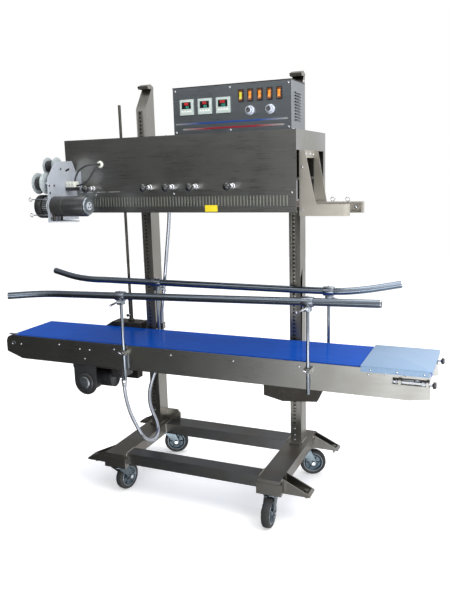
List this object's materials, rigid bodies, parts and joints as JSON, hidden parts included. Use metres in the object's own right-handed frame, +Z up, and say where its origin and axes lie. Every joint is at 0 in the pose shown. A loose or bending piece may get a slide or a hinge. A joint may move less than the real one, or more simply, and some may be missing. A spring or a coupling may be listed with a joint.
{
  "type": "continuous band sealer",
  "caption": "Upright continuous band sealer: wheeled steel frame, height-adjustable sealing head with control box and coder, and a belt conveyor with guard rails below.",
  "frame": {"origin": "on the floor, under the middle of the machine's footprint", "axes": "+X along the belt towards the end where the bags enter, +Y from the operator's side to the back, +Z up"},
  "size_m": [1.6204, 0.5796, 1.502],
  "materials": {
    "frame_steel": "satin stainless, warm grey, faint grain along the section",
    "sheet_steel": "brushed stainless sheet with fine lengthwise grain",
    "dark_steel": "dull dark steel",
    "tube_steel": "polished stainless tube",
    "bright_steel": "bright turned steel",
    "conduit_metal": "ribbed bright metal conduit",
    "zinc_plate": "bright zinc plating, slightly blue",
    "aluminium": "machined, satin",
    "coated_sheet": "pale blue-white coated sheet, satin",
    "motor_paint": "black paint, semi-gloss, slight texture",
    "caster_tyre": "black rubber, matt",
    "knob_black": "black phenolic, glossy",
    "cable_black": "black sheath, matt",
    "rocker_lime": "translucent yellow-green cap, lit",
    "rocker_orange": "translucent orange cap, lit",
    "knob_silver": "silver-coloured turned knob",
    "instrument_plastic": "light grey-green moulded plastic",
    "white_plastic": "pale blue-white moulded sheet",
    "blue_belt": "deep blue smooth belting with a glossy face",
    "band_cloth": "brown coated glass cloth"
  },
  "bodies": {
    "base": {"left_foot": "frame_steel", "right_foot": "frame_steel", "front_beam": "frame_steel", "rear_beam": "frame_steel", "left_post": "frame_steel", "right_post": "frame_steel", "hose_upper": "conduit_metal", "hose_lower": "conduit_metal"},
    "caster_fl": {"caster_fork_fl": "zinc_plate"},
    "wheel_fl": {"caster_wheel_fl": "caster_tyre"},
    "caster_fr": {"caster_fork_fr": "zinc_plate"},
    "wheel_fr": {"caster_wheel_fr": "caster_tyre"},
    "caster_rl": {"caster_fork_rl": "zinc_plate"},
    "wheel_rl": {"caster_wheel_rl": "caster_tyre"},
    "caster_rr": {"caster_fork_rr": "zinc_plate"},
    "wheel_rr": {"caster_wheel_rr": "caster_tyre"},
    "head": {"head_chassis": "dark_steel", "head_cover": "sheet_steel", "slot_guard": "sheet_steel", "sealing_band_front": "band_cloth", "sealing_band_rear": "band_cloth", "sealing_blocks": "aluminium", "band_motor": "motor_paint", "infeed_guide": "sheet_steel", "control_box": "sheet_steel", "controller_bank": "instrument_plastic", "coder_plate": "coated_sheet", "coder_motor": "motor_paint", "coder_cables": "cable_black"},
    "adjuster_1": {"adjuster_1": "knob_black"},
    "adjuster_2": {"adjuster_2": "knob_black"},
    "adjuster_3": {"adjuster_3": "knob_black"},
    "adjuster_4": {"adjuster_4": "knob_black"},
    "adjuster_5": {"adjuster_5": "knob_black"},
    "rocker_1": {"rocker_1": "rocker_lime"},
    "rocker_2": {"rocker_2": "rocker_orange"},
    "rocker_3": {"rocker_3": "rocker_orange"},
    "rocker_4": {"rocker_4": "rocker_orange"},
    "rocker_5": {"rocker_5": "rocker_orange"},
    "speed_knob_1": {"speed_knob_1": "knob_silver"},
    "speed_knob_2": {"speed_knob_2": "knob_silver"},
    "band_wheel_front_drive": {"band_wheel_front_drive": "bright_steel"},
    "band_wheel_front_infeed": {"band_wheel_front_infeed": "bright_steel"},
    "band_wheel_rear_drive": {"band_wheel_rear_drive": "bright_steel"},
    "band_wheel_rear_infeed": {"band_wheel_rear_infeed": "bright_steel"},
    "coder_drum": {"coder_drum": "bright_steel"},
    "spool_upper": {"spool_upper": "aluminium"},
    "spool_lower": {"spool_lower": "aluminium"},
    "conveyor": {"conveyor_frame": "sheet_steel", "conveyor_carriage": "dark_steel", "conveyor_belt": "blue_belt", "end_cover": "white_plastic", "conveyor_gearmotor": "motor_paint", "lift_rod": "dark_steel"},
    "drive_roller": {"drive_roller": "zinc_plate"},
    "tail_roller": {"tail_roller": "zinc_plate"},
    "tension_screw_front": {"tension_screw_front": "knob_black"},
    "tension_screw_rear": {"tension_screw_rear": "knob_black"},
    "front_rail": {"front_rail": "tube_steel"},
    "rear_rail": {"rear_rail": "tube_steel"}
  },
  "joints": [
    {"name": "caster_fl_swivel", "type": "hinge", "parent": "base", "child": "caster_fl", "pos_m": [-0.31025, -0.13363, 0.1097], "axis": [0, 0, 1], "continuous": true},
    {"name": "wheel_fl_roll", "type": "hinge", "parent": "caster_fl", "child": "wheel_fl", "pos_m": [-0.304, -0.09817, 0.05], "axis": [-0.9848, 0.1736, 0], "continuous": true},
    {"name": "caster_fr_swivel", "type": "hinge", "parent": "base", "child": "caster_fr", "pos_m": [0.28975, -0.13363, 0.1097], "axis": [0, 0, 1], "continuous": true},
    {"name": "wheel_fr_roll", "type": "hinge", "parent": "caster_fr", "child": "wheel_fr", "pos_m": [0.29163, -0.16958, 0.05], "axis": [0.9986, 0.0523, 0], "continuous": true},
    {"name": "caster_rl_swivel", "type": "hinge", "parent": "base", "child": "caster_rl", "pos_m": [-0.31025, 0.24437, 0.1097], "axis": [0, 0, 1], "continuous": true},
    {"name": "wheel_rl_roll", "type": "hinge", "parent": "caster_rl", "child": "wheel_rl", "pos_m": [-0.27711, 0.25844, 0.05], "axis": [-0.3907, 0.9205, 0], "continuous": true},
    {"name": "caster_rr_swivel", "type": "hinge", "parent": "base", "child": "caster_rr", "pos_m": [0.28975, 0.24437, 0.1097], "axis": [0, 0, 1], "continuous": true},
    {"name": "wheel_rr_roll", "type": "hinge", "parent": "caster_rr", "child": "wheel_rr", "pos_m": [0.32289, 0.25844, 0.05], "axis": [-0.3907, 0.9205, 0], "continuous": true},
    {"name": "head_lift", "type": "slide", "parent": "base", "child": "head", "axis": [0, 0, 1], "range_m": [-0.1, 0.1], "deforming": ["hose_upper"]},
    {"name": "adjuster_1_turn", "type": "hinge", "parent": "head", "child": "adjuster_1", "pos_m": [-0.35925, -0.11563, 1.127], "axis": [0, 1, 0], "continuous": true},
    {"name": "adjuster_2_turn", "type": "hinge", "parent": "head", "child": "adjuster_2", "pos_m": [-0.13125, -0.11563, 1.127], "axis": [0, 1, 0], "continuous": true},
    {"name": "adjuster_3_turn", "type": "hinge", "parent": "head", "child": "adjuster_3", "pos_m": [-0.04825, -0.11563, 1.127], "axis": [0, 1, 0], "continuous": true},
    {"name": "adjuster_4_turn", "type": "hinge", "parent": "head", "child": "adjuster_4", "pos_m": [0.03775, -0.11563, 1.127], "axis": [0, 1, 0], "continuous": true},
    {"name": "adjuster_5_turn", "type": "hinge", "parent": "head", "child": "adjuster_5", "pos_m": [0.16775, -0.11563, 1.127], "axis": [0, 1, 0], "continuous": true},
    {"name": "rocker_1_tilt", "type": "hinge", "parent": "head", "child": "rocker_1", "pos_m": [0.20075, -0.11063, 1.4], "axis": [1, 0, 0], "range_deg": [-8, 8]},
    {"name": "rocker_2_tilt", "type": "hinge", "parent": "head", "child": "rocker_2", "pos_m": [0.23125, -0.11063, 1.4], "axis": [1, 0, 0], "range_deg": [-8, 8]},
    {"name": "rocker_3_tilt", "type": "hinge", "parent": "head", "child": "rocker_3", "pos_m": [0.26275, -0.11063, 1.4], "axis": [1, 0, 0], "range_deg": [-8, 8]},
    {"name": "rocker_4_tilt", "type": "hinge", "parent": "head", "child": "rocker_4", "pos_m": [0.29425, -0.11063, 1.4], "axis": [1, 0, 0], "range_deg": [-8, 8]},
    {"name": "rocker_5_tilt", "type": "hinge", "parent": "head", "child": "rocker_5", "pos_m": [0.32475, -0.11063, 1.4], "axis": [1, 0, 0], "range_deg": [-8, 8]},
    {"name": "speed_knob_1_turn", "type": "hinge", "parent": "head", "child": "speed_knob_1", "pos_m": [0.22975, -0.11063, 1.355], "axis": [0, 1, 0], "range_deg": [-150, 150]},
    {"name": "speed_knob_2_turn", "type": "hinge", "parent": "head", "child": "speed_knob_2", "pos_m": [0.29525, -0.11063, 1.355], "axis": [0, 1, 0], "range_deg": [-150, 150]},
    {"name": "band_wheel_front_drive_spin", "type": "hinge", "parent": "head", "child": "band_wheel_front_drive", "pos_m": [-0.41025, -0.03583, 1.067], "axis": [0, 0, 1], "continuous": true},
    {"name": "band_wheel_front_infeed_spin", "type": "hinge", "parent": "head", "child": "band_wheel_front_infeed", "pos_m": [0.32475, -0.03583, 1.067], "axis": [0, 0, 1], "continuous": true},
    {"name": "band_wheel_rear_drive_spin", "type": "hinge", "parent": "head", "child": "band_wheel_rear_drive", "pos_m": [-0.41025, 0.04457, 1.067], "axis": [0, 0, 1], "continuous": true},
    {"name": "band_wheel_rear_infeed_spin", "type": "hinge", "parent": "head", "child": "band_wheel_rear_infeed", "pos_m": [0.32475, 0.04457, 1.067], "axis": [0, 0, 1], "continuous": true},
    {"name": "coder_drum_spin", "type": "hinge", "parent": "head", "child": "coder_drum", "pos_m": [-0.46625, -0.24403, 1.0729], "axis": [1, 0, 0], "continuous": true},
    {"name": "spool_upper_spin", "type": "hinge", "parent": "head", "child": "spool_upper", "pos_m": [-0.46025, -0.19723, 1.2064], "axis": [1, 0, 0], "continuous": true},
    {"name": "spool_lower_spin", "type": "hinge", "parent": "head", "child": "spool_lower", "pos_m": [-0.46025, -0.25453, 1.1501], "axis": [1, 0, 0], "continuous": true},
    {"name": "conveyor_lift", "type": "slide", "parent": "base", "child": "conveyor", "axis": [0, 0, 1], "range_m": [-0.06, 0.08], "deforming": ["hose_lower"]},
    {"name": "drive_roller_spin", "type": "hinge", "parent": "conveyor", "child": "drive_roller", "pos_m": [-0.77425, 0.00437, 0.538], "axis": [0, 1, 0], "continuous": true},
    {"name": "tail_roller_spin", "type": "hinge", "parent": "conveyor", "child": "tail_roller", "pos_m": [0.75175, 0.00437, 0.538], "axis": [0, 1, 0], "continuous": true},
    {"name": "tension_screw_front_turn", "type": "hinge", "parent": "conveyor", "child": "tension_screw_front", "pos_m": [0.79575, -0.12763, 0.536], "axis": [1, 0, 0], "continuous": true},
    {"name": "tension_screw_rear_turn", "type": "hinge", "parent": "conveyor", "child": "tension_screw_rear", "pos_m": [0.79575, 0.13637, 0.536], "axis": [1, 0, 0], "continuous": true},
    {"name": "front_rail_lift", "type": "slide", "parent": "conveyor", "child": "front_rail", "axis": [0, 0, 1], "range_m": [-0.1, 0.07]},
    {"name": "rear_rail_lift", "type": "slide", "parent": "conveyor", "child": "rear_rail", "axis": [0, 0, 1], "range_m": [-0.1, 0.07]}
  ],
  "couplings": [
    {"joint": "band_wheel_front_infeed_spin", "follows": "band_wheel_front_drive_spin", "ratio": 1},
    {"joint": "band_wheel_rear_drive_spin", "follows": "band_wheel_front_drive_spin", "ratio": -1},
    {"joint": "band_wheel_rear_infeed_spin", "follows": "band_wheel_front_drive_spin", "ratio": -1},
    {"joint": "tail_roller_spin", "follows": "drive_roller_spin", "ratio": 1}
  ]
}
